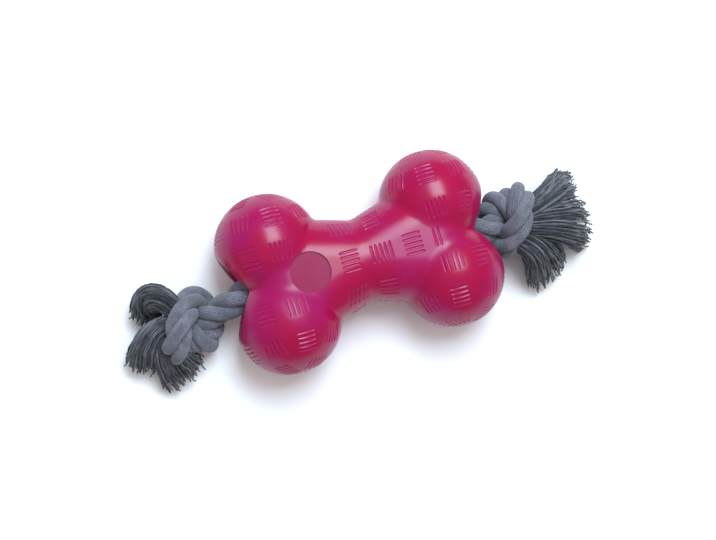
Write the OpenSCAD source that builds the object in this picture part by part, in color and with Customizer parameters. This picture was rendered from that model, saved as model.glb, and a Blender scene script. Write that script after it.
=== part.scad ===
// Rubber chew toy: a moulded bone with four ball lobes, and one three-strand
// cotton rope through its long bore, knotted and frayed at both ends.
// X runs along the bone, Y across its lobes and Z up. The origin is on the
// floor under the middle of the bone, which rests on its four lobes.

/* [Bone] */
// Radius of each ball lobe
lobe_r = 26.5; // [24:0.5:29]
// Distance of the lobe centres from the middle, along the bone
lobe_reach = 43.2; // [40:0.2:47]
// Distance of the lobe centres from the long axis
lobe_side = 19.3; // [17:0.1:21]
// Radius of the shaft at its narrow waist
waist_r = 21; // [18:0.5:22]
// Radius of the shaft's round sides where they run into the lobes
arm_r = 22.5; // [20:0.5:23.5]
// Distance from the middle at which the shaft's sides are widest
arm_reach = 38; // [35:0.5:40]
// Distance of the shaft's round sides from the long axis there
arm_side = 10; // [8:0.5:12]
// Diameter of the bore that the rope runs through
bore_d = 16; // [15.6:0.1:18]
// Distance from the middle at which each mouth of the bore starts to open
mouth_reach = 57; // [56:0.5:58]

/* [Round pad] */
// Diameter of the plain round pad pressed into the top of the shaft
pad_d = 20.4; // [16:0.2:22]
// Distance of the pad's centre from the waist
pad_reach = 28.5; // [26:0.5:30]
// Depth of the pad under the top of the shaft
pad_depth = 1; // [0.6:0.1:1.2]

/* [Grooves] */
// Length of each groove
groove_l = 9.6; // [8:0.2:10]
// Width of each groove
groove_w = 1.2; // [0.8:0.1:1.4]
// Depth of each groove at its middle
groove_depth = 0.45; // [0.3:0.05:0.6]
// Distance from one groove to the next in a patch
groove_pitch = 2.4; // [2:0.1:2.5]

/* [Rope] */
// Diameter of the rope
rope_d = 14.6; // [13:0.1:14.8]
// Gap between the rope's parts where they turn against each other
rope_gap = 0.3; // [0.3:0.1:0.5]
// Distance outside the mouth at which the rope bends down to the left knot
neck_reach = 4; // [3.5:0.1:5]
// Diameter of the rope where a knot squeezes it
squeezed_d = 12; // [11:0.5:13]
// Radius of a knot's turns, to the middle of the rope
turn_r = 9.6; // [9:0.1:10.5]
// Distance from one turn of a knot to the next
turn_pitch = 8; // [7:0.5:9]
// Diameter of the round end of a knot, where the strands part
bud_d = 15; // [14:0.5:16]

/* [Hidden] */

// Colours
rubber_red = [0.66, 0.10, 0.30];
rope_grey = [0.39, 0.41, 0.48];
yarn_grey = [0.33, 0.36, 0.44];

// Facets: exact surfaces, the shaft's loft, the squeezed rope and the swept tufts
$fn = 96;
shaft_sides = 48;
section_fn = 40;
tuft_sides = 24;
tuft_rings = 10;
round_step = 5;

// How far every cut runs past the surface that it cuts
overrun = 1;

// Bone
axis_z = lobe_r;
bone_end = lobe_reach + lobe_r;
bore_r = bore_d / 2;
pad_slope = atan((arm_r - waist_r) / arm_reach);
pad_top = waist_r + (arm_r - waist_r) * pad_reach / arm_reach;

// Patches of five grooves. On a lobe each has its angle towards the lobe's outer side, its
// angle round from the top towards the bone's end, and whether its grooves run along the bone
// or across it. On the shaft each has its place along the bone, its angle round from the top
// and the same.
along = 0;
across = 90;
patch_steps = [-2 : 2];
lobe_patches = [
    [-12, -8, across], [-12, 28, along], [-12, 136, across], [-12, 172, along],
    [27, -49, across], [27, -9, along], [27, 31, across], [27, 71, along], [27, 111, across],
    [27, 151, along], [27, 191, across], [27, 231, along],
    [62, -104, along], [62, -32, across], [62, 40, along], [62, 140, across], [62, 196, along],
    [90, 0, across],
];
shaft_patches = [
    [-8, 0, along], [8, 0, across], [24, 0, along],
    [-8, 45, across], [8, 45, along], [-8, 90, along], [8, 90, across],
    [-8, 135, across], [8, 135, along], [-8, 180, along], [8, 180, across],
    [-24, 180, across], [24, 180, along],
    [-8, 225, across], [8, 225, along], [-8, 270, along], [8, 270, across],
    [-8, 315, across], [8, 315, along],
];

// Rope through the bone
rope_r = rope_d / 2;
left_pivot = [-mouth_reach - neck_reach, 0, axis_z];
core_left = left_pivot[0] + rope_r + rope_gap;
core_right = bone_end - overrun;

// Knots: their centres, the way the rope leaves them and the ends of their buds
squeezed_r = squeezed_d / 2;
bud_r = bud_d / 2;
left_knot_at = [-90, -7, 16];
left_knot_turn = [0, 0, 14];
left_bud_at = [-104, -5, 14];
right_knot_at = [80, 0, 25.5];
right_knot_turn = [0, 0, 0];
right_bud_at = [91, -3, 23];
turn_lean = 22;
bulge_d = 19;
bulge_shift = [4, -9, 0];

// Tufts: the points that steer each frayed strand out of its bud to its tip, and its half
// sizes at the tip
tuft_root_r = 3;
flute_count = 8;
flute_share = 0.08;
tip_share = 0.7;
left_upper_route = [[-109, 2, 18], [-111, 9, 17], [-110, 11, 5]];
left_upper_half = [10, 7];
left_middle_route = [[-113, -9, 16], [-117, -15, 14], [-121, -21, 6]];
left_middle_half = [11, 7];
left_lower_route = [[-108, -14, 17], [-107, -25, 15], [-100, -34, 6]];
left_lower_half = [10.5, 7];
right_upper_route = [[101, 0, 24], [108, 4, 19], [115, 6, 4]];
right_upper_half = [9, 6];
right_middle_route = [[100, -8, 24], [107, -13, 20], [113, -18, 5]];
right_middle_half = [10, 7];
right_lower_route = [[95, -13, 26], [95, -24, 18], [92, -31, 5]];
right_lower_half = [11, 7];

// A point of a four-point curve, and the way it runs there
function curve_at(p, t) =
    pow(1 - t, 3) * p[0] + 3 * pow(1 - t, 2) * t * p[1] + 3 * (1 - t) * t * t * p[2] + pow(t, 3) * p[3];
function curve_way(p, t) =
    3 * pow(1 - t, 2) * (p[1] - p[0]) + 6 * (1 - t) * t * (p[2] - p[1]) + 3 * t * t * (p[3] - p[2]);
function unit(v) = v / norm(v);
function level_side(way) = unit(cross([0, 0, 1], way));

// Cutters for a patch of grooves on a lobe, turned about its centre so that all cut equally deep
module lobe_patch_cut() {
    turn = groove_pitch / lobe_r * 180 / PI;
    for (k = patch_steps)
        rotate([k * turn, 0, 0]) translate([-groove_l / 2, -groove_w / 2, lobe_r - groove_depth])
            cube([groove_l, groove_w, groove_depth + overrun]);
}

// A ball lobe at one end and on one side, grooved, with its poles facing across the bone
module lobe(end, side) {
    translate([cos(end) * lobe_reach, side * lobe_side, 0])
        difference() {
            rotate([-90 * side, 0, 0]) rotate(end) sphere(r = lobe_r);
            mirror([end / 180, 0, 0]) mirror([0, (1 - side) / 2, 0])
                for (p = lobe_patches)
                    rotate([0, p[1], 0]) rotate([-p[0], 0, 0]) rotate(p[2]) lobe_patch_cut();
        }
}

// The bone's shaft: round at the waist, and spread sideways into two round arms at each end
module shaft() {
    stations = [[-arm_reach, arm_r, arm_side], [0, waist_r, 0], [arm_reach, arm_r, arm_side]];
    points = [
        for (s = stations, k = [0 : shaft_sides - 1])
            let (turn = 360 * k / shaft_sides, spread = sign(round(shaft_sides * cos(turn))))
            [s[0], s[1] * cos(turn) + spread * s[2], s[1] * sin(turn)]
    ];
    faces = concat(
        [[for (k = [0 : shaft_sides - 1]) k]],
        [
            for (i = [0 : len(stations) - 2], k = [0 : shaft_sides - 1])
                let (a = i * shaft_sides + k, b = i * shaft_sides + (k + 1) % shaft_sides)
                [a, a + shaft_sides, b + shaft_sides, b]
        ],
        [[for (k = [shaft_sides - 1 : -1 : 0]) (len(stations) - 1) * shaft_sides + k]]
    );
    polyhedron(points = points, faces = faces, convexity = 4);
    for (end = [-1, 1])
        translate([end * arm_reach, 0, 0]) rotate([90, 0, 0])
            cylinder(r = arm_r, h = 2 * arm_side, center = true);
}

// Cutters for a patch of grooves on the shaft, laid along its slope
module shaft_patch_cut(station, angle, lie) {
    share = abs(station) / arm_reach;
    thick = waist_r + (arm_r - waist_r) * share;
    rise = atan((arm_r - waist_r + arm_side * abs(sin(angle))) / arm_reach);
    side = arm_side * share * sign(round(shaft_sides * sin(angle)));
    for (k = patch_steps)
        translate([station, side, 0])
            rotate([-angle, 0, 0]) translate([0, 0, thick]) rotate([0, -sign(station) * rise, 0])
                shaft_groove_cut(k, lie);
}

// One groove's cutter: along the shaft it is moved round with the surface, across it is moved along
module shaft_groove_cut(k, lie) {
    turn = lie == along ? groove_pitch / waist_r * 180 / PI : 0;
    shift = lie == along ? 0 : groove_pitch;
    translate([k * shift, 0, -waist_r]) rotate([-k * turn, 0, 0]) rotate(lie)
        translate([-groove_l / 2, -groove_w / 2, waist_r - groove_depth])
            cube([groove_l, groove_w, groove_depth + overrun]);
}

// The bore from end to end, opening into a cone between each pair of lobes
module rope_way() {
    cone_l = bone_end - mouth_reach + overrun;
    rotate([0, 90, 0]) cylinder(d = bore_d, h = 2 * bone_end, center = true);
    for (end = [0, 180])
        rotate([0, 90, end])
            translate([0, 0, mouth_reach]) cylinder(r1 = bore_r, r2 = bore_r + cone_l, h = cone_l);
}

// The plain round pad on top of the shaft, level with the shaft's own slope
module pad_cut() {
    translate([-pad_reach, 0, pad_top])
        rotate([0, pad_slope, 0])
            translate([0, 0, -pad_depth]) cylinder(d = pad_d, h = pad_depth + overrun);
}

module bone_body() {
    color(rubber_red)
        translate([0, 0, axis_z])
            difference() {
                union() {
                    for (end = [0, 180], side = [-1, 1]) lobe(end, side);
                    difference() {
                        shaft();
                        for (p = shaft_patches) shaft_patch_cut(p[0], p[1], p[2]);
                    }
                }
                rope_way();
                pad_cut();
            }
}

module rope_core() {
    color(rope_grey)
        translate([core_left, 0, axis_z])
            rotate([0, 90, 0]) cylinder(d = rope_d, h = core_right - core_left);
}

// The short free stretch from the bore's mouth to the left knot, with a round end in the mouth
module left_neck() {
    way = left_knot_at - left_pivot;
    neck_l = norm(way) - turn_r;
    round_end = [for (turn = [-90 : round_step : 0]) rope_r * [cos(turn), sin(turn)]];
    color(rope_grey)
        translate(left_pivot)
            rotate([0, acos(way[2] / norm(way)), atan2(way[1], way[0])])
                rotate_extrude()
                    polygon(concat(round_end, [[rope_r, neck_l], [0, neck_l]]));
}

// One turn of squeezed rope round the middle of a knot
module knot_turn(shift) {
    rotate([0, 90, turn_lean])
        translate([0, 0, shift])
            rotate_extrude() translate([turn_r, 0]) circle(r = squeezed_r, $fn = section_fn);
}

// Two leaning turns over a round middle, and the bulge where the loop comes back
module knot_mass() {
    knot_turn(-turn_pitch / 2);
    knot_turn(turn_pitch / 2);
    sphere(r = turn_r);
    translate(bulge_shift) sphere(d = bulge_d);
}

// The round end of a knot, with its poles to either side and its seam turned away from the knot
module bud(away) {
    rotate([-90, 0, 0]) rotate(away) sphere(d = bud_d);
}

module left_knot() {
    color(rope_grey) {
        translate(left_knot_at) rotate(left_knot_turn) knot_mass();
        translate(left_bud_at) bud(180);
    }
}

module right_knot() {
    color(rope_grey)
        difference() {
            union() {
                translate(right_knot_at) rotate(right_knot_turn) mirror([1, 0, 0]) knot_mass();
                translate(right_bud_at) bud(0);
            }
            translate([0, 0, axis_z]) rotate([0, 90, 0]) cylinder(d = rope_d, h = core_right);
        }
}

// A frayed strand: a fluted form that leaves the bud straight out, with a flat root just
// clear of it, and swells to its loose tips
module tuft(bud_at, route, half) {
    start = bud_at + (bud_r + rope_gap) * unit(route[0] - bud_at);
    path = concat([start], route);
    rings = [for (i = [0 : tuft_rings]) i / tuft_rings];
    points = [
        for (t = rings)
            let (
                way = unit(curve_way(path, t)),
                side = level_side(way),
                rise = cross(way, side),
                swell = sin(90 * t),
                close = t < 1 ? 1 : tip_share,
                wide = close * (tuft_root_r + (half[0] - tuft_root_r) * swell),
                high = close * (tuft_root_r + (half[1] - tuft_root_r) * swell)
            )
            for (k = [0 : tuft_sides - 1])
                let (
                    turn = 360 * k / tuft_sides,
                    flute = 1 - flute_share * t * (1 + cos(flute_count * turn)) / 2
                )
                curve_at(path, t) + flute * (wide * cos(turn) * side + high * sin(turn) * rise)
    ];
    faces = concat(
        [[for (k = [0 : tuft_sides - 1]) k]],
        [
            for (i = [0 : tuft_rings - 1], k = [0 : tuft_sides - 1])
                let (a = i * tuft_sides + k, b = i * tuft_sides + (k + 1) % tuft_sides)
                [a, a + tuft_sides, b + tuft_sides, b]
        ],
        [[for (k = [tuft_sides - 1 : -1 : 0]) tuft_rings * tuft_sides + k]]
    );
    color(yarn_grey) polyhedron(points = points, faces = faces, convexity = 4);
}

module left_tuft_upper() {
    tuft(left_bud_at, left_upper_route, left_upper_half);
}

module left_tuft_middle() {
    tuft(left_bud_at, left_middle_route, left_middle_half);
}

module left_tuft_lower() {
    tuft(left_bud_at, left_lower_route, left_lower_half);
}

module right_tuft_upper() {
    tuft(right_bud_at, right_upper_route, right_upper_half);
}

module right_tuft_middle() {
    tuft(right_bud_at, right_middle_route, right_middle_half);
}

module right_tuft_lower() {
    tuft(right_bud_at, right_lower_route, right_lower_half);
}

bone_body();
rope_core();
left_neck();
left_knot();
left_tuft_upper();
left_tuft_middle();
left_tuft_lower();
right_knot();
right_tuft_upper();
right_tuft_middle();
right_tuft_lower();
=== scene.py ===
"""Dress a rubber chew bone with a knotted rope through it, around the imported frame.

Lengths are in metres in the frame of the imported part: X along the bone, Y across its lobes and
Z up, with the origin on the floor under the middle of the bone. Angles are in degrees where a
name says so.
"""

import logging
import math
from dataclasses import dataclass, field
from enum import Enum
from typing import Optional, Sequence, Union

import bpy
import numpy as np
from mathutils import Matrix, Vector


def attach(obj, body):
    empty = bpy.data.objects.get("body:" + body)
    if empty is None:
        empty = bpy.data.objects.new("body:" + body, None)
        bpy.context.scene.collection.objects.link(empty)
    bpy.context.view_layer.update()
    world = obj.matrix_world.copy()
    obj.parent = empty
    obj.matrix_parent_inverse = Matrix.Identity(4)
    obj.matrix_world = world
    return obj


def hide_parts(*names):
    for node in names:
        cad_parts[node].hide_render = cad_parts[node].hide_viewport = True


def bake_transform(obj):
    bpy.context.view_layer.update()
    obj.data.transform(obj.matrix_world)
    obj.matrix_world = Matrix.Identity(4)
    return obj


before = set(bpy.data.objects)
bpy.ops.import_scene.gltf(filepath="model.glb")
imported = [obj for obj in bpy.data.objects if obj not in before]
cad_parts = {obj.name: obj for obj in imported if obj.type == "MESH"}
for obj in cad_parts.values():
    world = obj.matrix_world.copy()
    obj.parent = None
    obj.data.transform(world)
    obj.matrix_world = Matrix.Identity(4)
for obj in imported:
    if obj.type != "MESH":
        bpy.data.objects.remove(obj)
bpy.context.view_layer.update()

LOG = logging.getLogger("dress")
MM = 0.001
Triple = tuple[float, float, float]


# ---- Node trees ------------------------------------------------------------------------------


class Socket(Enum):
    """The kinds of socket that a node tree is given."""

    NUMBER = "NodeSocketFloat"
    WHOLE = "NodeSocketInt"
    VECTOR = "NodeSocketVector"
    SHAPE = "NodeSocketGeometry"
    OBJECT = "NodeSocketObject"
    MATERIAL = "NodeSocketMaterial"


class Flow:
    """One value on its way through a node tree, with the arithmetic that fields need."""

    def __init__(self, tree: "Tree", socket: bpy.types.NodeSocket) -> None:
        """Hold a socket of a tree.

        Args:
            tree: The tree that the socket is in.
            socket: An output socket of one of its nodes.
        """
        self.tree = tree
        self.socket = socket

    @property
    def is_vector(self) -> bool:
        """Whether the value has three parts."""
        return self.socket.type in {"VECTOR", "RGBA"}

    def _with(self, operation: str, *others: "Value") -> "Flow":
        """Combine the value with others, as vectors where any of them is one.

        Args:
            operation: The operation's name in Blender.
            others: Numbers, triples or other values.

        Returns:
            The result's value.
        """
        vector = any(isinstance(o, Flow) and o.is_vector or isinstance(o, tuple) for o in (self, *others))
        return self.tree.math(operation, self, *others, vector=vector)

    def __add__(self, other: "Value") -> "Flow":
        """Add another value."""
        return self._with("ADD", other)

    __radd__ = __add__

    def __sub__(self, other: "Value") -> "Flow":
        """Take another value away."""
        return self._with("SUBTRACT", other)

    def __mul__(self, other: "Value") -> "Flow":
        """Multiply by another value, part by part."""
        if self.is_vector and not isinstance(other, tuple) and not (isinstance(other, Flow) and other.is_vector):
            return self.tree.scaled(self, other)
        return self._with("MULTIPLY", other)

    __rmul__ = __mul__

    def __truediv__(self, other: "Value") -> "Flow":
        """Divide by another value, part by part."""
        if self.is_vector and not isinstance(other, tuple) and not (isinstance(other, Flow) and other.is_vector):
            return self.tree.scaled(self, self.tree.math("DIVIDE", 1.0, other))
        return self._with("DIVIDE", other)

    def __neg__(self) -> "Flow":
        """Turn the value round."""
        return self * -1.0

    def parts(self) -> tuple["Flow", "Flow", "Flow"]:
        """Split a vector into its three numbers."""
        node = self.tree.node("ShaderNodeSeparateXYZ", {0: self})
        return tuple(Flow(self.tree, out) for out in node.outputs)


Value = Union[float, int, tuple, Flow]


class Tree:
    """A node tree under construction, with short calls for the nodes that it takes."""

    def __init__(self, group: bpy.types.NodeTree) -> None:
        """Hold a node tree.

        Args:
            group: The tree in Blender, such as a material's own.
        """
        self.group = group

    @staticmethod
    def _pick(sockets: Sequence[bpy.types.NodeSocket], key: Union[int, str]) -> bpy.types.NodeSocket:
        """Find a socket.

        Args:
            sockets: A node's inputs or outputs.
            key: The socket's number, or its identifier or name among those in use.

        Returns:
            The socket.
        """
        if isinstance(key, int):
            return sockets[key]
        return next(s for s in sockets if key in (s.identifier, s.name) and s.enabled)

    def feed(self, socket: bpy.types.NodeSocket, value: Value) -> None:
        """Link a value to an input socket, or set it there.

        Args:
            socket: The input socket.
            value: A value from the tree, or a constant.
        """
        if isinstance(value, Flow):
            self.group.links.new(value.socket, socket)
        else:
            socket.default_value = value

    def node(self, kind: str, feeds: Optional[dict] = None, **settings: object) -> bpy.types.Node:
        """Add a node.

        Args:
            kind: The node's type in Blender.
            feeds: Values for its inputs, by name, identifier or number.
            settings: Properties to set before the inputs are fed.

        Returns:
            The node.
        """
        made = self.group.nodes.new(kind)
        for name, value in settings.items():
            setattr(made, name, value)
        for key, value in (feeds or {}).items():
            self.feed(self._pick(made.inputs, key), value)
        return made

    def out(self, node: bpy.types.Node, which: Union[int, str]) -> Flow:
        """Take an output of a node, by its number or name."""
        return Flow(self, self._pick(node.outputs, which))

    def take(self, kind: str, feeds: Optional[dict] = None, out: Union[int, str] = 0, **settings: object) -> Flow:
        """Add a node and take one of its outputs.

        Args:
            kind: The node's type in Blender.
            feeds: Values for its inputs.
            out: The output's number or name.
            settings: Properties of the node.

        Returns:
            The output's value.
        """
        return self.out(self.node(kind, feeds, **settings), out)

    def math(self, operation: str, *values: Value, vector: bool = False) -> Flow:
        """Add a math node.

        Args:
            operation: The operation's name in Blender.
            values: Its inputs in order.
            vector: Whether it works on vectors.

        Returns:
            The result's value.
        """
        kind = "ShaderNodeVectorMath" if vector else "ShaderNodeMath"
        number = vector and operation in {"LENGTH", "DOT_PRODUCT"}
        return self.take(kind, dict(enumerate(values)), out=int(number), operation=operation)

    def scaled(self, vector: Flow, factor: Value) -> Flow:
        """Scale a vector by a number."""
        return self.take("ShaderNodeVectorMath", {"Vector": vector, "Scale": factor}, operation="SCALE")

    def vector(self, x: Value, y: Value, z: Value) -> Flow:
        """Join three numbers into a vector."""
        return self.take("ShaderNodeCombineXYZ", {0: x, 1: y, 2: z})

    def length(self, vector: Flow) -> Flow:
        """Measure a vector."""
        return self.math("LENGTH", vector, vector=True)

    def unit(self, vector: Flow) -> Flow:
        """Bring a vector to length one."""
        return self.math("NORMALIZE", vector, vector=True)

    def cross(self, a: Value, b: Value) -> Flow:
        """Find the vector square to two others."""
        return self.math("CROSS_PRODUCT", a, b, vector=True)

    def highest(self, a: Value, b: Value) -> Flow:
        """Take the larger of two numbers."""
        return self.math("MAXIMUM", a, b)

    def lowest(self, a: Value, b: Value) -> Flow:
        """Take the smaller of two numbers."""
        return self.math("MINIMUM", a, b)

    def turned(self, angle: Value) -> tuple[Flow, Flow]:
        """Find the cosine and the sine of an angle."""
        return self.math("COSINE", angle), self.math("SINE", angle)

    def attribute(self, name: str, kind: str = "FLOAT") -> Flow:
        """Read a named attribute of the shape."""
        return self.take("GeometryNodeInputNamedAttribute", {"Name": name}, data_type=kind)

    def position(self) -> Flow:
        """Read where a point is."""
        return self.take("GeometryNodeInputPosition")

    def along(self, out: str = "Factor") -> Flow:
        """Read how far along its line a point is, as a Factor or as a Length."""
        return self.take("GeometryNodeSplineParameter", out=out)

    def circle(self, sides: int) -> Flow:
        """Draw a closed section of radius one."""
        return self.take("GeometryNodeCurvePrimitiveCircle", {"Resolution": sides, "Radius": 1.0})

    def straight(self, start: Value, end: Value, count: int) -> Flow:
        """Draw a straight line with a number of points."""
        line = self.take("GeometryNodeCurvePrimitiveLine", {"Start": start, "End": end})
        return self.take("GeometryNodeResampleCurve", {"Curve": line, "Count": count})

    def copied(self, points: Flow, shape: Flow, **feeds: Value) -> Flow:
        """Put a copy of a shape on each point."""
        copies = self.take("GeometryNodeInstanceOnPoints", {"Points": points, "Instance": shape, **feeds})
        return self.take("GeometryNodeRealizeInstances", {"Geometry": copies})

    def stored(self, shape: Flow, name: str, value: Value, kind: str = "FLOAT", domain: str = "POINT") -> Flow:
        """Store a named attribute on a shape.

        Args:
            shape: The shape.
            name: The attribute's name.
            value: What it holds.
            kind: Its data type in Blender.
            domain: What it is stored on: points or faces.

        Returns:
            The shape with the attribute.
        """
        feeds = {"Geometry": shape, "Name": name, "Value": value}
        return self.take("GeometryNodeStoreNamedAttribute", feeds, data_type=kind, domain=domain)

    def moved(self, shape: Flow, **feeds: Value) -> Flow:
        """Move a shape's points, by an Offset or to a Position."""
        return self.take("GeometryNodeSetPosition", {"Geometry": shape, **feeds})

    def smoothed(self, shape: Flow) -> Flow:
        """Shade a shape smooth."""
        return self.take("GeometryNodeSetShadeSmooth", {"Geometry": shape, "Shade Smooth": True})

    def swept(self, lines: Flow, section: Flow, scale: Value) -> Flow:
        """Sweep a closed section along lines and close the ends."""
        feeds = {"Curve": lines, "Profile Curve": section, "Scale": scale, "Fill Caps": True}
        return self.take("GeometryNodeCurveToMesh", feeds)


class Group(Tree):
    """A node group with named inputs and outputs, for Geometry Nodes or for shaders."""

    def __init__(self, name: str, kind: str = "GeometryNodeTree") -> None:
        """Start an empty group.

        Args:
            name: The group's name.
            kind: Blender's type of tree.
        """
        super().__init__(bpy.data.node_groups.new(name, kind))
        self._source = self.group.nodes.new("NodeGroupInput")
        self._sink = self.group.nodes.new("NodeGroupOutput")

    def given(self, name: str, kind: Socket = Socket.NUMBER) -> Flow:
        """Add a named input.

        Args:
            name: The input's name.
            kind: The kind of socket.

        Returns:
            The input's value inside the group.
        """
        item = self.group.interface.new_socket(name, in_out="INPUT", socket_type=kind.value)
        return Flow(self, next(s for s in self._source.outputs if s.identifier == item.identifier))

    def result(self, name: str, value: Value, kind: Socket = Socket.SHAPE) -> None:
        """Add a named output and feed it.

        Args:
            name: The output's name.
            value: What it gives.
            kind: The kind of socket.
        """
        item = self.group.interface.new_socket(name, in_out="OUTPUT", socket_type=kind.value)
        self.feed(next(s for s in self._sink.inputs if s.identifier == item.identifier), value)

    def give(self, shape: Flow, material: Flow) -> None:
        """Give a shape as the group's result, in one piece and in its material."""
        shape = self.take("GeometryNodeRealizeInstances", {"Geometry": shape})
        self.result("Geometry", self.take("GeometryNodeSetMaterial", {"Geometry": shape, "Material": material}))

    def keys(self) -> dict[str, str]:
        """Find each input's identifier by its name."""
        return {
            item.name: item.identifier
            for item in self.group.interface.items_tree
            if item.item_type == "SOCKET" and item.in_out == "INPUT"
        }


def put(name: str, data: bpy.types.ID) -> bpy.types.Object:
    """Put data into the scene as an object at the origin.

    Args:
        name: The object's name.
        data: Its mesh, light or camera.

    Returns:
        The object.
    """
    thing = bpy.data.objects.new(name, data)
    bpy.context.scene.collection.objects.link(thing)
    return thing


def grown(name: str, base: bpy.types.Mesh, tree: Group, values: dict) -> bpy.types.Object:
    """Run a Geometry Nodes group once and keep its result as a plain mesh.

    Args:
        name: The name of the new piece.
        base: The mesh that the group starts from.
        tree: The group.
        values: Its inputs by name.

    Returns:
        The piece, at the origin and without modifiers.
    """
    carrier = put(name + "_carrier", base)
    modifier = carrier.modifiers.new("Grow", "NODES")
    modifier.node_group = tree.group
    keys = tree.keys()
    for label, value in values.items():
        modifier[keys[label]] = value
    bpy.context.view_layer.update()
    seen = carrier.evaluated_get(bpy.context.evaluated_depsgraph_get())
    mesh = bpy.data.meshes.new_from_object(seen)
    bpy.data.objects.remove(carrier)
    mesh.name = name
    LOG.info("%s: %d faces", name, len(mesh.polygons))
    return put(name, mesh)


# ---- The bone --------------------------------------------------------------------------------


@dataclass(frozen=True)
class BoneSizes:
    """The bone's sizes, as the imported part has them, and the fillets that its mould has."""

    lobe_r: float = 26.5 * MM
    lobe_reach: float = 43.2 * MM
    lobe_side: float = 19.3 * MM
    waist_r: float = 21.0 * MM
    arm_r: float = 22.5 * MM
    arm_reach: float = 38.0 * MM
    arm_side: float = 10.0 * MM
    bore_r: float = 8.0 * MM
    mouth_reach: float = 57.0 * MM
    fillet: float = 1.5 * MM
    lip: float = 1.6 * MM
    waist_round: float = 1.2 * MM

    def named(self) -> dict[str, float]:
        """Give the sizes by the names that the node trees use."""
        return {name.replace("_", " ").capitalize(): value for name, value in vars(self).items()}

    def share(self, x: float) -> float:
        """Tell how far out along an arm a place is, from 0 at the waist to 1 at the arm's end."""
        return min(abs(x) / self.arm_reach, 1.0)

    def thick(self, x: float) -> float:
        """Give the shaft's radius at a place along it."""
        return self.waist_r + (self.arm_r - self.waist_r) * self.share(x)

    def hubs(self) -> list[tuple[int, int, Vector]]:
        """List the lobes' middles, each after the end and the side that it is on."""
        return [
            (end, side, Vector((end * self.lobe_reach, side * self.lobe_side, self.lobe_r)))
            for end in (-1, 1)
            for side in (-1, 1)
        ]


class BoneForm:
    """The rule of the bone's surface: how far a point is outside it."""

    STEP = 0.05 * MM

    def __init__(self, sizes: BoneSizes) -> None:
        """Build the distance group.

        Args:
            sizes: The bone's sizes.
        """
        self.sizes = sizes
        self.group = self._distance_group()

    @staticmethod
    def _smooth(tree: Tree, a: Flow, b: Flow, width: Value, sign: float) -> Flow:
        """Join two distances with a fillet.

        Args:
            tree: The tree to build in.
            a: One distance.
            b: The other distance.
            width: The fillet's width.
            sign: 1 for the nearer of the two, -1 for the further.

        Returns:
            The joined distance.
        """
        pick = tree.lowest if sign > 0 else tree.highest
        overlap = tree.highest(tree.math("SUBTRACT", width, tree.math("ABSOLUTE", a - b)), 0.0) / width
        return pick(a, b) - overlap * overlap * width * (0.25 * sign)

    def _distance_group(self) -> Group:
        """Build the group that measures a point's distance from the bone.

        Returns:
            The group.
        """
        tree = Group("Bone distance")
        point = tree.given("Point", Socket.VECTOR)
        size = {name: tree.given(name) for name in self.sizes.named()}
        x, y, up = point.parts()
        z = up - size["Lobe r"]
        ahead = tree.math("ABSOLUTE", x)
        soft = size["Waist round"]
        soft_ahead = tree.math("SQRT", ahead * ahead + soft * soft)
        past = ahead - size["Lobe reach"]
        lobes = [
            tree.length(tree.vector(past, y - size["Lobe side"] * side, z)) - size["Lobe r"]
            for side in (1.0, -1.0)
        ]
        share = tree.lowest(soft_ahead / size["Arm reach"], 1.0)
        spread = tree.highest(tree.math("ABSOLUTE", y) - size["Arm side"] * share, 0.0)
        beyond = tree.highest(ahead - size["Arm reach"], 0.0)
        thick = size["Waist r"] + (size["Arm r"] - size["Waist r"]) * share
        shaft = tree.length(tree.vector(beyond, spread, z)) - thick
        body = self._smooth(tree, self._smooth(tree, *lobes, size["Fillet"], 1.0), shaft, size["Fillet"], 1.0)
        flare = tree.highest(ahead - size["Mouth reach"], 0.0)
        hole = tree.length(tree.vector(0.0, y, z)) - size["Bore r"] - flare
        tree.result("Distance", self._smooth(tree, body, -hole, size["Lip"], -1.0), Socket.NUMBER)
        return tree

    def distance(self, tree: Tree, sizes: dict[str, Flow], point: Flow) -> Flow:
        """Measure a point inside another tree.

        Args:
            tree: The tree to build in.
            sizes: The sizes there, by name.
            point: The point.

        Returns:
            Its distance from the bone.
        """
        return tree.take("GeometryNodeGroup", {"Point": point, **sizes}, node_tree=self.group.group)

    def slope(self, tree: Tree, sizes: dict[str, Flow], point: Flow) -> tuple[Flow, Flow]:
        """Measure a point, and the way in which its distance grows.

        Args:
            tree: The tree to build in.
            sizes: The sizes there, by name.
            point: The point.

        Returns:
            The distance and its gradient.
        """
        here = self.distance(tree, sizes, point)
        rises = [
            (self.distance(tree, sizes, point + tuple(self.STEP * (k == axis) for k in range(3))) - here) / self.STEP
            for axis in range(3)
        ]
        return here, tree.vector(*rises)

    def settle(self, tree: Tree, sizes: dict[str, Flow], shape: Flow, rounds: int) -> Flow:
        """Bring every point of a shape onto the bone's surface.

        Args:
            tree: The tree to build in.
            sizes: The sizes there, by name.
            shape: The shape.
            rounds: How many steps to take.

        Returns:
            The settled shape.
        """
        for _ in range(rounds):
            here, slope = self.slope(tree, sizes, tree.position())
            steep = tree.math("DOT_PRODUCT", slope, slope, vector=True)
            shape = tree.moved(shape, Offset=slope * (-here / steep))
        return shape


class Lie(Enum):
    """The way in which a patch's grooves run."""

    ALONG = 0
    ACROSS = 1


@dataclass(frozen=True)
class Patch:
    """One patch of short grooves."""

    centre: Vector
    out: Vector
    along: Vector
    hub: Optional[Vector] = None


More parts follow.
